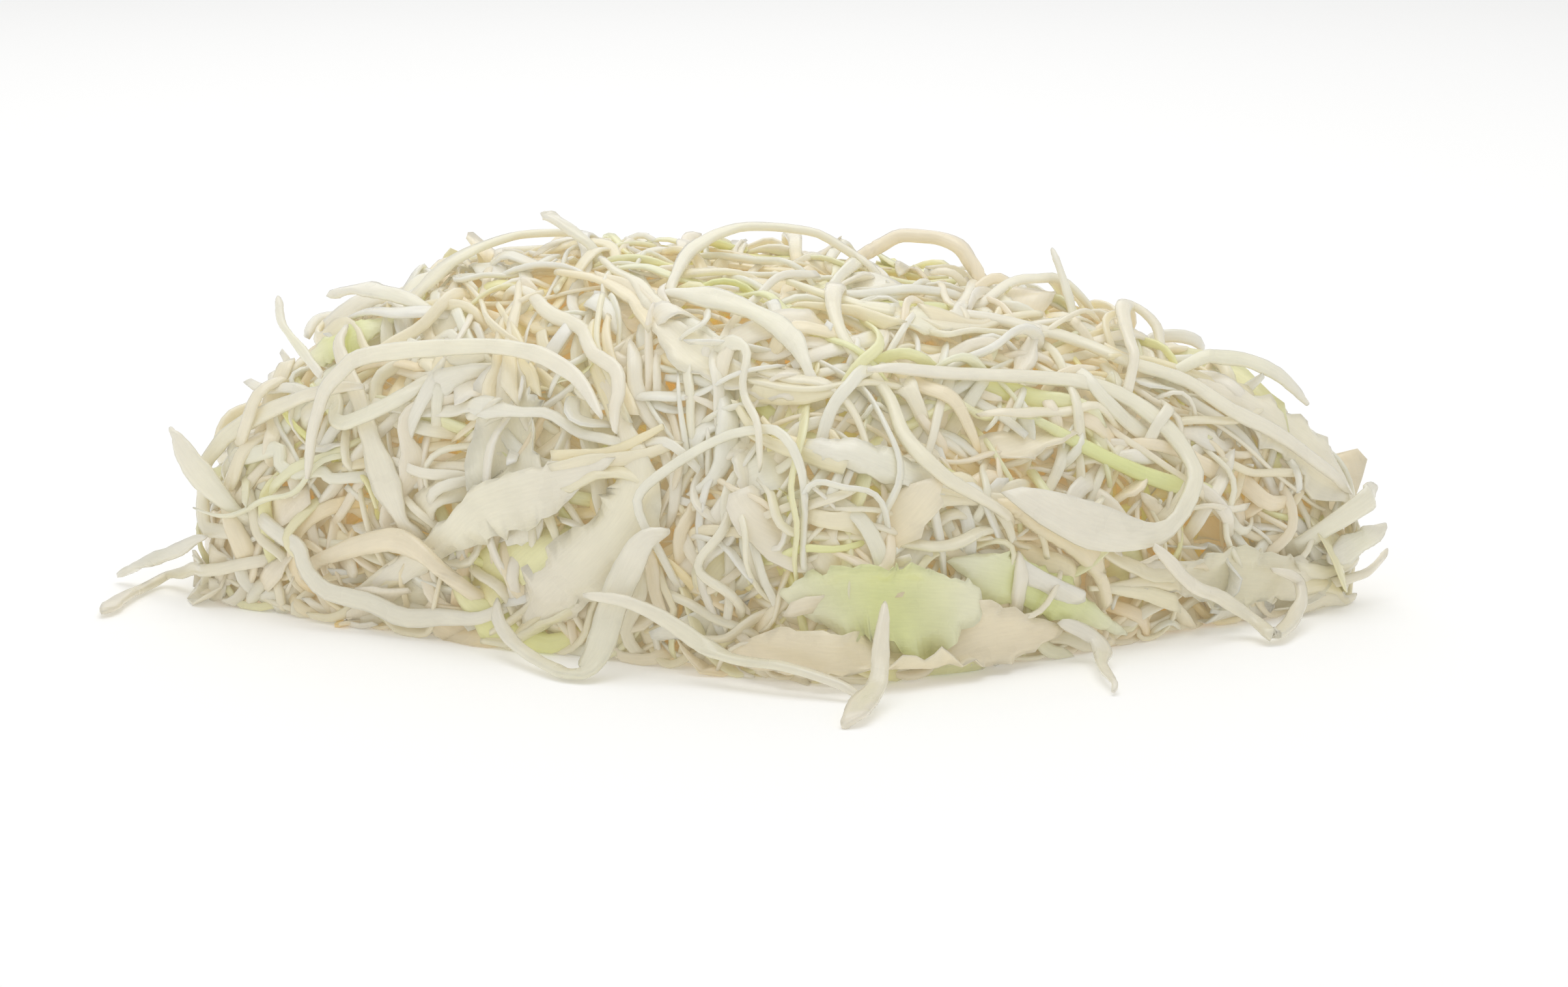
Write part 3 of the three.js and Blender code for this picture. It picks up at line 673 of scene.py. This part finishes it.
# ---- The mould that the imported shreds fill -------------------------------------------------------


@dataclass
class Mould:
    """How far any place is outside the frame's packed mass, on a grid, in millimetres."""

    cell: float = 2.5
    margin: float = 25.0

    def __post_init__(self) -> None:
        """Measures the mass's shell, leaving its underside out, because the surface closes that."""
        mesh = frame["nodes"][MASS_NODE].data
        places = [v.co / MM for v in mesh.vertices]
        faces = [tuple(p.vertices) for p in mesh.polygons if p.normal.z > -0.9]
        tree = BVHTree.FromPolygons(places, faces)
        low, high = (np.array(corner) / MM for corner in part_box(MASS_NODE))
        self.low = low - [self.margin, self.margin, 0]
        self.shape = (np.ceil((high + self.margin - self.low) / self.cell).astype(int) + 1)
        self.grid = np.empty(self.shape)
        for index in np.ndindex(*self.shape):
            place = Vector(self.low + np.array(index) * self.cell)
            near, normal, _, distance = tree.find_nearest(place)
            self.grid[index] = math.copysign(distance, (place - near).dot(normal))
        self.slopes = np.stack(np.gradient(self.grid, self.cell), axis=-1)

    def read(self, grid: np.ndarray, points: np.ndarray) -> np.ndarray:
        """Reads a grid between its nodes."""
        place = np.clip((points - self.low) / self.cell, 0, np.array(self.shape) - 1.001)
        corner = place.astype(int)
        part = place - corner
        total = 0
        for offset in np.ndindex(2, 2, 2):
            weight = np.where(offset, part, 1 - part).prod(-1)
            index = tuple((corner + offset).reshape(-1, 3).T)
            value = grid[index].reshape(points.shape[:-1] + grid.shape[3:])
            total = total + value * (weight[..., None] if grid.ndim > 3 else weight)
        return total

    def distance(self, points: np.ndarray) -> np.ndarray:
        """How far points are outside the mass, and less than nothing inside it."""
        return self.read(self.grid, points)

    def outward(self, points: np.ndarray) -> np.ndarray:
        """The way out of the mass at points."""
        return unit(self.read(self.slopes, points))


# ---- The tangle ----------------------------------------------------------------------------------


def close_pairs(points: np.ndarray, reach: float) -> tuple[np.ndarray, np.ndarray]:
    """Finds the pairs of points that are closer than a reach.

    Args:
        points: The points, one a row.
        reach: The greatest distance.

    Returns:
        The first and the second point of each pair.
    """
    cells = np.floor((points - points.min(0)) / reach).astype(np.int64) + 1
    spans = cells.max(0) + 2
    keys = (cells[:, 0] * spans[1] + cells[:, 1]) * spans[2] + cells[:, 2]
    order = np.argsort(keys, kind="stable")
    ordered = keys[order]
    firsts, seconds = [], []
    for dx, dy, dz in np.ndindex(3, 3, 3):
        shift = ((dx - 1) * spans[1] + (dy - 1)) * spans[2] + (dz - 1)
        if shift < 0:
            continue
        low = np.searchsorted(ordered, ordered + shift, "left")
        high = np.searchsorted(ordered, ordered + shift, "right")
        if shift == 0:
            low = np.arange(len(ordered)) + 1
        counts = np.maximum(high - low, 0)
        first = np.repeat(np.arange(len(ordered)), counts)
        second = np.arange(counts.sum()) - np.repeat(np.cumsum(counts) - counts, counts) + low[first]
        firsts.append(order[first])
        seconds.append(order[second])
    first, second = np.concatenate(firsts), np.concatenate(seconds)
    near = ((points[first] - points[second]) ** 2).sum(1) < reach**2
    return first[near], second[near]


@dataclass(frozen=True)
class Cut:
    """A kind of shred: how common it is, its sizes in millimetres, and its beads.

    A piece of leaf has several rows of beads across it, so that less passes through it.
    """

    share: float
    width: tuple[float, float]
    thickness: tuple[float, float]
    length: tuple[float, float]
    bead: float
    rows: int = 1


CUTS = (
    Cut(share=0.44, width=(1.4, 2.4), thickness=(0.6, 1.1), length=(28, 90), bead=0.75),
    Cut(share=0.26, width=(0.8, 1.4), thickness=(0.5, 0.8), length=(20, 80), bead=0.5),
    Cut(share=0.05, width=(2.4, 3.4), thickness=(1.2, 1.9), length=(14, 30), bead=1.05),
    Cut(share=0.13, width=(3.2, 5.5), thickness=(0.5, 0.8), length=(12, 34), bead=0.8, rows=2),
    Cut(share=0.08, width=(5.5, 8.5), thickness=(0.5, 0.8), length=(14, 34), bead=0.8, rows=3),
    Cut(share=0.04, width=(8.5, 12.0), thickness=(0.5, 0.8), length=(16, 30), bead=0.8, rows=4),
)


@dataclass
class Tangle:
    """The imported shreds, as chains of beads that are grown in the mould and then eased apart."""

    mould: Mould
    fixed: np.ndarray
    rng: np.random.Generator
    count: int = 2300
    forked: float = 0.14
    depth: float = 11.0
    veil: float = 5.5
    topmost: float = 0.16
    gap: float = 2.0
    steps: int = 80
    sink: float = 0.02

    # Height below which packed shreds get painted shade, warmer and darker towards the floor.
    LOW_SHADE_MM = 45.0
    FIXED_BEAD_MM = 0.85
    PAIRS_EVERY = 4
    PAIR_REACH_MM = 3.2
    GREEN_SHARE = 0.14
    STIFFNESS = ((1, 0, 0.9), (2, 0, 0.35), (4, 0, 0.2),
                 (0, 1, 0.9), (1, 1, 0.5), (-1, 1, 0.5), (0, 2, 0.3))

    def run(self) -> None:
        """Grows the shreds and eases them apart."""
        self.choose_cuts()
        self.grow_all()
        self.ease()

    def choose_cuts(self) -> None:
        """Gives each shred its kind, its sizes and how it curls, and some a parent to fork from."""
        rng, n = self.rng, self.count
        self.cut = rng.choice(len(CUTS), n, p=[c.share for c in CUTS])

        def between(name: str) -> np.ndarray:
            low, high = np.array([getattr(c, name) for c in CUTS])[self.cut].T
            return low + (high - low) * rng.random(n)

        self.width, self.thickness, length = between("width"), between("thickness"), between("length")
        self.beads = np.ceil(length / self.gap).astype(int) + 1
        self.bead = np.array([c.bead for c in CUTS])[self.cut]
        self.rows = np.array([c.rows for c in CUTS])[self.cut]
        self.bend = rng.choice([0.01, 0.03, 0.08], n, p=[0.4, 0.35, 0.25]) * rng.uniform(0.6, 1.4, n)
        self.sway = rng.choice([0.02, 0.14, 0.28], n, p=[0.35, 0.4, 0.25]) * (self.rows == 1)
        self.sway_mm = rng.uniform(7, 20, n)
        self.top = rng.normal(0.5, 0.9, n) - 1.3 * (self.rows > 1) + 2.0 * (rng.random(n) < 0.2)
        self.lying = (rng.random(n) < self.topmost) & (self.rows == 1)
        self.top = np.where(self.lying, rng.uniform(0.8, 2.5, n), self.top)
        self.bottom = np.where(self.lying, -0.8, -self.depth)
        self.stray = np.where(rng.random(n) < 0.3, rng.uniform(1, 6, n), 0)
        self.parent = np.full(n, -1)
        forked = rng.permutation(np.flatnonzero(self.rows == 1))
        children = forked[: int(self.forked * n)]
        parents = forked[len(children) :]
        self.parent[children] = rng.choice(parents, len(children))
        self.joint = (self.beads[self.parent] * rng.uniform(0.25, 0.75, n)).astype(int)

    def grow_all(self) -> None:
        """Grows the shreds that start in the mould, and then those that fork from them."""
        rng, n = self.rng, self.count
        side, top = -self.mould.low - self.mould.margin, 60
        tries = rng.uniform([-side[0], -side[1], 0.5], [side[0], side[1], top], (60 * n, 3))
        level = self.mould.distance(tries)
        near = tries[(level < 0) & (level > -self.veil)]
        deep = tries[(level < -self.veil) & (level > -self.depth)]
        shallow = np.where(self.rows > 1, 0.3, 0.6)[:, None]
        place = np.where(rng.random((n, 1)) < shallow, near[:n], deep[:n])
        place = np.where(self.lying[:, None], tries[np.abs(level) < 1][:n], place)
        heading = unit(rng.normal(size=(n, 3)) * [1.3, 1, 0.6])
        outward = self.mould.outward(place)
        heading = unit(heading - np.where(self.lying, 1, 0.7)[:, None] * outward * dot(heading, outward))
        self.grown = np.empty((n, self.beads.max(), 3))
        self.facing = np.empty_like(self.grown)
        alone, forks = np.flatnonzero(self.parent < 0), np.flatnonzero(self.parent >= 0)
        self.grow(alone, place[alone], heading[alone])
        parent, joint = self.parent[forks], self.joint[forks]
        forward = self.grown[parent, joint + 1] - self.grown[parent, joint]
        aside = self.facing[parent, joint] * rng.choice([-1, 1], (len(forks), 1))
        self.grow(forks, self.grown[parent, joint], unit(unit(forward) + 0.6 * aside))
        size = self.rows * self.beads
        self.start = np.cumsum(size) - size
        self.owner = np.repeat(np.arange(n), size)
        within = np.arange(len(self.owner)) - self.start[self.owner]
        self.row, self.order = np.divmod(within, self.beads[self.owner])
        aside = (self.row - (self.rows[self.owner] - 1) / 2) * (self.width / self.rows)[self.owner]
        self.points = (self.grown[self.owner, self.order]
                       + self.facing[self.owner, self.order] * aside[:, None])

    def grow(self, shreds: np.ndarray, place: np.ndarray, heading: np.ndarray) -> None:
        """Grows shreds by a random walk that bends smoothly and stays in the mould's shell.

        Args:
            shreds: Which shreds.
            place: Where each one starts.
            heading: Which way each one starts.
        """
        rng, n = self.rng, len(shreds)
        outward = self.mould.outward(place)
        axis = unit(rng.normal(size=(n, 3)) + 2 * outward * rng.choice([-1, 1], (n, 1)))
        phase = rng.uniform(0, 2 * math.pi, n)
        side = np.cross(outward, heading) + 0.35 * rng.normal(size=(n, 3))
        for k in range(self.grown.shape[1]):
            side = unit(side - heading * dot(side, heading))
            self.grown[shreds, k], self.facing[shreds, k] = place, side
            sway = np.sin(2 * math.pi * k * self.gap / self.sway_mm[shreds] + phase)
            turn = self.bend[shreds] + self.sway[shreds] * sway
            axis = unit(axis + 0.14 * rng.normal(size=(n, 3)))
            heading = heading + np.cross(axis, heading) * (turn * self.gap)[:, None]
            heading += 0.05 * rng.normal(size=(n, 3)) * (self.rows[shreds] == 1)[:, None]
            outward, over = self.mould.outward(place), self.mould.distance(place)
            top = self.top[shreds] + 0.7 * self.stray[shreds]
            heading -= outward * np.clip((over - top + 1.5) / 3, 0, 1)[:, None] * 0.9
            heading += outward * np.clip((self.bottom[shreds] - over) / 3, 0, 1)[:, None] * 0.9
            heading[:, 2] += np.clip((2.5 - place[:, 2]) / 3, 0, 1)
            heading = unit(heading)
            place = place + heading * self.gap

    def links(self, along: int, across: int) -> list[tuple[np.ndarray, np.ndarray]]:
        """Pairs of beads of one shred, in two lists in which no bead comes twice.

        Args:
            along: How many beads along the shred the second is from the first.
            across: How many rows across it.

        Returns:
            The two lists, each as the first beads and the second ones.
        """
        beads = self.beads[self.owner]
        last = self.order + along
        first = np.flatnonzero((last >= 0) & (last < beads) & (self.row + across < self.rows[self.owner]))
        second = first + across * beads[first] + along
        odd = (self.row[first] // across if across else self.order[first] // along) % 2
        return [(first[odd == k], second[odd == k]) for k in (0, 1)]

    def springs(self, points: np.ndarray) -> list[tuple[np.ndarray, np.ndarray, np.ndarray, float]]:
        """The lengths that each shred keeps, and the joints that hold a fork to its parent."""
        pairs = [(a, b, stiff) for along, across, stiff in self.STIFFNESS
                 for a, b in self.links(along, across)]
        springs = [(a, b, np.linalg.norm(points[b] - points[a], axis=1), stiff)
                   for a, b, stiff in pairs]
        forks = np.flatnonzero(self.parent >= 0)
        _, alone = np.unique(self.parent[forks] * 1000 + self.joint[forks], return_index=True)
        forks = forks[alone]
        joints = self.start[self.parent[forks]] + self.joint[forks]
        return [*springs, (self.start[forks], joints, np.zeros(len(forks)), 0.9)]

    def ease(self) -> None:
        """Moves the beads for a set number of steps, so that fewer shreds share places.

        Shreds keep their lengths and their curls, nearly. Some still overlap at the end.
        """
        moving = len(self.points)
        points = np.concatenate([self.points, self.fixed])
        size = np.concatenate([self.bead[self.owner], np.full(len(self.fixed), self.FIXED_BEAD_MM)])
        owner = np.concatenate([self.owner, np.full(len(self.fixed), self.count)])
        family = np.append(np.where(self.parent >= 0, self.parent, np.arange(self.count)), -1)
        springs = self.springs(points)
        ends = np.minimum(self.order, self.beads[self.owner] - 1 - self.order)
        cap = self.top[self.owner] + self.stray[self.owner] * np.clip(1 - ends / 6, 0.3, 1)
        for step in range(self.steps):
            if step % self.PAIRS_EVERY == 0:
                first, second = close_pairs(points, self.PAIR_REACH_MM)
                apart = family[owner[first]] != family[owner[second]]
                apart &= np.minimum(first, second) < moving
                first, second = first[apart], second[apart]
                room = size[first] + size[second]
                free = np.stack([first < moving, second < moving], axis=1)
                shares = free / free.sum(1, keepdims=True)
            points[:moving, 2] -= self.sink
            over = self.mould.distance(points[:moving])
            outward = self.mould.outward(points[:moving])
            low = np.clip(points[:moving, 2] / 12, 0.2, 1)
            push = np.clip(cap * low - over, None, 0) * 0.3
            push += np.clip(self.bottom[self.owner] - over, 0, None) * 0.3
            points[:moving] += outward * push[:, None]
            for _ in range(2):
                self.part(points, first, second, room, shares)
                for a, b, rest, stiff in springs:
                    way = points[b] - points[a]
                    length = np.linalg.norm(way, axis=1)
                    move = way * (stiff * 0.5 * (length - rest) / np.maximum(length, 1e-6))[:, None]
                    points[a] += move
                    points[b] -= move
            points[:moving, 2] = np.maximum(points[:moving, 2], size[:moving] * 0.8)
        self.points = points[:moving]

    @staticmethod
    def part(points: np.ndarray, first: np.ndarray, second: np.ndarray, room: np.ndarray,
             shares: np.ndarray) -> None:
        """Pushes apart the beads of different shreds that are closer than their sizes allow."""
        way = points[second] - points[first]
        length = np.linalg.norm(way, axis=1)
        hit = length < room
        way, length = way[hit], np.maximum(length[hit], 1e-6)
        push = way * (0.6 * (room[hit] - length) / length)[:, None]
        a, b = first[hit], second[hit]
        moves = np.concatenate([-push * shares[hit, :1], push * shares[hit, 1:]])
        places = np.concatenate([a, b])
        hits = np.maximum(np.bincount(places, minlength=len(points)), 1)
        for k in range(3):
            total = np.bincount(places, moves[:, k], minlength=len(points))
            points[:, k] += total / np.sqrt(hits)

    def lines(self, chosen: np.ndarray, rings: int) -> Lines:
        """The lines of some of the shreds.

        Args:
            chosen: Which shreds.
            rings: How many rings each line has.

        Returns:
            One batch of lines.
        """
        rng, n = self.rng, len(chosen)
        rows, width = self.rows[chosen], self.width[chosen, None]
        leafy = rows > 1
        centre, span = np.empty((n, rings, 3)), np.zeros((n, rings, 3))
        bulge = np.zeros((n, rings, 3))
        for i, shred in enumerate(chosen):
            sheet = self.points[self.start[shred] :][: rows[i] * self.beads[shred]]
            sheet = sheet.reshape(rows[i], -1, 3).transpose(1, 0, 2).copy()
            for _ in range(2):
                sheet[1:-1] = 0.5 * sheet[1:-1] + 0.25 * (sheet[:-2] + sheet[2:])
            sheet = sample(sheet, rings)
            centre[i], span[i] = sheet.mean(1), sheet[:, -1] - sheet[:, 0]
            bulge[i] = sheet[:, 1:-1].mean(1) - sheet[:, [0, -1]].mean(1) if rows[i] > 2 else 0
        centre[..., 2] = np.maximum(centre[..., 2], self.thickness[chosen, None] / 2)
        # How deep a shred lies, taken at its outermost edge, for its painted shade.
        over = np.max([self.mould.distance(centre + span * part) for part in (-0.5, 0, 0.5)], axis=0)
        side = np.where(leafy[:, None, None], span, self.sides(centre))
        out = np.cross(unit(np.gradient(centre, axis=1)), unit(side))
        share = np.linspace(0, 1, rings)
        ends = np.clip(np.minimum(share, 1 - share) / rng.uniform(0.02, 0.3, (n, 1)), 0, 1)
        blunt = np.where(leafy, 0.5, rng.uniform(0.25, 0.8, n))[:, None]
        # Painted shade: deeper and lower shreds are warmer and darker, and glow more; the random part is the
        # leaves' own tone.
        deep = np.clip((0.5 - over) / 6.5, 0, 1)
        low = np.clip(1 - centre[..., 2] / self.LOW_SHADE_MM, 0, 1)
        shade = np.clip(0.08 + 0.74 * deep + 0.14 * low + rng.normal(0, 0.12, (n, 1)), 0, 1)
        greens = np.where(rng.random(n) < self.GREEN_SHARE, rng.uniform(0.25, 0.8, n), rng.uniform(0, 0.14, n))
        return Lines(
            centre=centre, side=side,
            width=width * (blunt + (1 - blunt) * np.sqrt(ends)) * self.swell(chosen, share),
            thickness=self.thickness[chosen, None] * (0.55 + 0.45 * ends),
            shade=shade, green=greens[:, None] * (0.7 + 0.3 * np.sin(4 * share)),
            arch=np.clip((bulge * out).sum(-1), -2, 2),
            edges=lopsided(rng, n, rings, np.where(leafy, 0.45, 0.16)),
            ruffle=np.where(leafy, 0.12, 0.03),
            slant=rng.uniform(-1.6, 1.6, (n, 2)), phase=rng.uniform(0, 6, n))

    def swell(self, chosen: np.ndarray, share: np.ndarray) -> np.ndarray:
        """How much wider each ring is than usual: at random, and where a fork leaves its parent."""
        rng, n = self.rng, len(chosen)
        swell = 1 + 0.18 * np.sin(share * rng.uniform(3, 12, (n, 1)) + rng.uniform(0, 6, (n, 1)))
        mm = share * (self.beads[chosen, None] - 1) * self.gap
        swell += (self.parent[chosen, None] >= 0) * np.exp(-((mm / 3) ** 2))
        joints = {int(p): k * self.gap for p, k in zip(self.parent, self.joint) if p >= 0}
        at = np.array([joints.get(int(shred), -99) for shred in chosen])[:, None]
        return swell + 1.1 * np.exp(-(((mm - at) / 2.5) ** 2))

    def sides(self, centre: np.ndarray) -> np.ndarray:
        """Which way each ring's width runs: carried along the shred, with a slow twist."""
        rng, n, rings = self.rng, len(centre), centre.shape[1]
        along = unit(np.gradient(centre, axis=1))
        outward = self.mould.outward(centre)
        twist = rng.uniform(-1, 1, (n, 1)) * 0.14
        side = np.empty_like(centre)
        now = unit(np.cross(outward[:, 0], along[:, 0]) + 0.6 * rng.normal(size=(n, 3)))
        for k in range(rings):
            flat = np.cross(outward[:, k], along[:, k])
            now = now + 0.12 * flat * np.where(dot(flat, now) < 0, -1, 1)
            now = unit(now - along[:, k] * dot(now, along[:, k]))
            now = unit(now + twist * np.cross(along[:, k], now))
            side[:, k] = now
        return side


# ---- Light, floor and camera ---------------------------------------------------------------------


@dataclass
class Studio:
    """A pale floor, soft lights and the camera."""

    distance: float = 0.72
    elevation: float = 12.0
    view_width: float = 0.2408
    aim: tuple[float, float, float] = (0.0014, 0.0, 0.0173)

    def build(self) -> None:
        """Makes the floor, the lights and the camera."""
        self.floor()
        self.lamp("key_light", (0.05, 0.0, 0.98), 0.8, 2.8)
        self.lamp("fill_light", (-0.7, -0.6, 0.45), 0.9, 0.5)
        self.lamp("back_light", (-0.1, 0.7, 0.6), 0.7, 0.8)
        world = bpy.data.worlds.new("studio")
        world.use_nodes = True
        world.node_tree.nodes["Background"].inputs["Color"].default_value = linear("#ffffff")
        world.node_tree.nodes["Background"].inputs["Strength"].default_value = 0.6
        bpy.context.scene.world = world
        self.camera()

    def floor(self) -> None:
        """A wide matt floor, almost white."""
        bpy.ops.object.select_all(action="DESELECT")
        bpy.ops.mesh.primitive_plane_add(size=6)
        floor = bpy.context.object
        floor.name = "floor"
        material = bpy.data.materials.new("matt_white_paper")
        material.use_nodes = True
        shader = material.node_tree.nodes["Principled BSDF"]
        shader.inputs["Base Color"].default_value = linear("#fbfbfa")
        shader.inputs["Roughness"].default_value = 0.9
        shader.inputs["Emission Color"].default_value = linear("#ffffff")
        shader.inputs["Emission Strength"].default_value = 0.16
        floor.data.materials.append(material)

    def lamp(self, name: str, place: tuple[float, float, float], size: float, power: float) -> None:
        """Adds a soft lamp that faces the heap."""
        data = bpy.data.lights.new(name, "AREA")
        data.size, data.energy = size, power
        lamp = bpy.data.objects.new(name, data)
        lamp.location = place
        lamp.rotation_euler = (-Vector(place)).to_track_quat("-Z", "Y").to_euler()
        bpy.context.scene.collection.objects.link(lamp)

    def camera(self) -> None:
        """Places the camera in front, a little above the heap."""
        data = bpy.data.cameras.new("camera")
        data.sensor_width = 36
        data.lens = 36 * self.distance / self.view_width
        camera = bpy.data.objects.new("camera", data)
        angle = math.radians(self.elevation)
        back = Vector((0, -math.cos(angle), math.sin(angle)))
        camera.location = Vector(self.aim) + back * self.distance
        camera.rotation_euler = (-back).to_track_quat("-Z", "Y").to_euler()
        bpy.context.scene.collection.objects.link(camera)
        bpy.context.scene.camera = camera


# ---- The heap ------------------------------------------------------------------------------------


@dataclass
class Heap:
    """All the shreds."""

    rng: np.random.Generator
    materials: dict[Slot, bpy.types.Material]

    LENGTHS = ((0, 10, 12), (10, 18, 20), (18, 28, 28), (28, 38, 38), (38, 99, 48))
    BATCH = 250

    def named(self) -> list[NamedShred]:
        """The frame's shreds, each read from its node."""
        rows = frame["record"]["subparts"]
        return [NamedShred(row["node"], Slot(row["material_slot"])) for row in rows
                if row["node"] != MASS_NODE]

    def build(self) -> None:
        """Makes every piece of the heap."""
        shreds, mould = self.named(), Mould()
        for shred in shreds:
            shred.carry_ends_in(mould)
            shred.split_ends(mould, self.rng)
        self.tangle(mould, np.concatenate([shred.beads(2.0) for shred in shreds]))
        strand, flake, tine = StraightShred(44), StraightShred(36, panels=7), StraightShred(24)
        for shred in shreds:
            straight = flake if shred.is_flake else strand
            piece = shred.dress(straight, self.materials[shred.slot], self.rng)
            log.info("%s: %d faces", piece.name, len(piece.data.polygons))
            if shred.tines:
                piece = shred.dress_tines(tine, self.materials[shred.slot], mould, self.rng)
                log.info("%s: %d tines", piece.name, len(shred.tines))

    def tangle(self, mould: Mould, fixed: np.ndarray) -> None:
        """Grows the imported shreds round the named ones, and makes them in batches by length."""
        tangle = Tangle(mould, fixed, self.rng)
        tangle.run()
        log.info("tangle: %d shreds, %d beads", tangle.count, len(tangle.points))
        for leafy, name, panels in ((False, "packed_strands", 1), (True, "packed_flakes", 4)):
            for shortest, longest, segments in self.LENGTHS:
                chosen = np.flatnonzero(((tangle.rows > 1) == leafy) & (tangle.beads > shortest)
                                        & (tangle.beads <= longest))
                if not len(chosen):
                    continue
                straight = StraightShred(segments, panels)
                for batch in np.array_split(chosen, len(chosen) // self.BATCH + 1):
                    lines = tangle.lines(batch, segments + 1)
                    piece = lines.flesh(f"{name}_{batch[0]}", straight, self.materials[Slot.MASS])
                    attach(piece, "root")
                    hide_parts(MASS_NODE)
                    log.info("%s: %d shreds, %d faces", piece.name, len(batch), len(piece.data.polygons))


def main() -> None:
    """Builds the heap and its studio."""
    logging.basicConfig(level=logging.INFO, format="%(message)s")
    bpy.context.scene.view_settings.view_transform = "Standard"
    materials = {Slot.MASS: WHITE_LEAF.make(), Slot.RIB: CREAM_RIB.make(),
                 Slot.GREEN: GREEN_LEAF.make()}
    materials[Slot.WHITE] = materials[Slot.MASS]
    Heap(np.random.default_rng(SEED), materials).build()
    Studio().build()


if __name__ == "__main__":
    main()
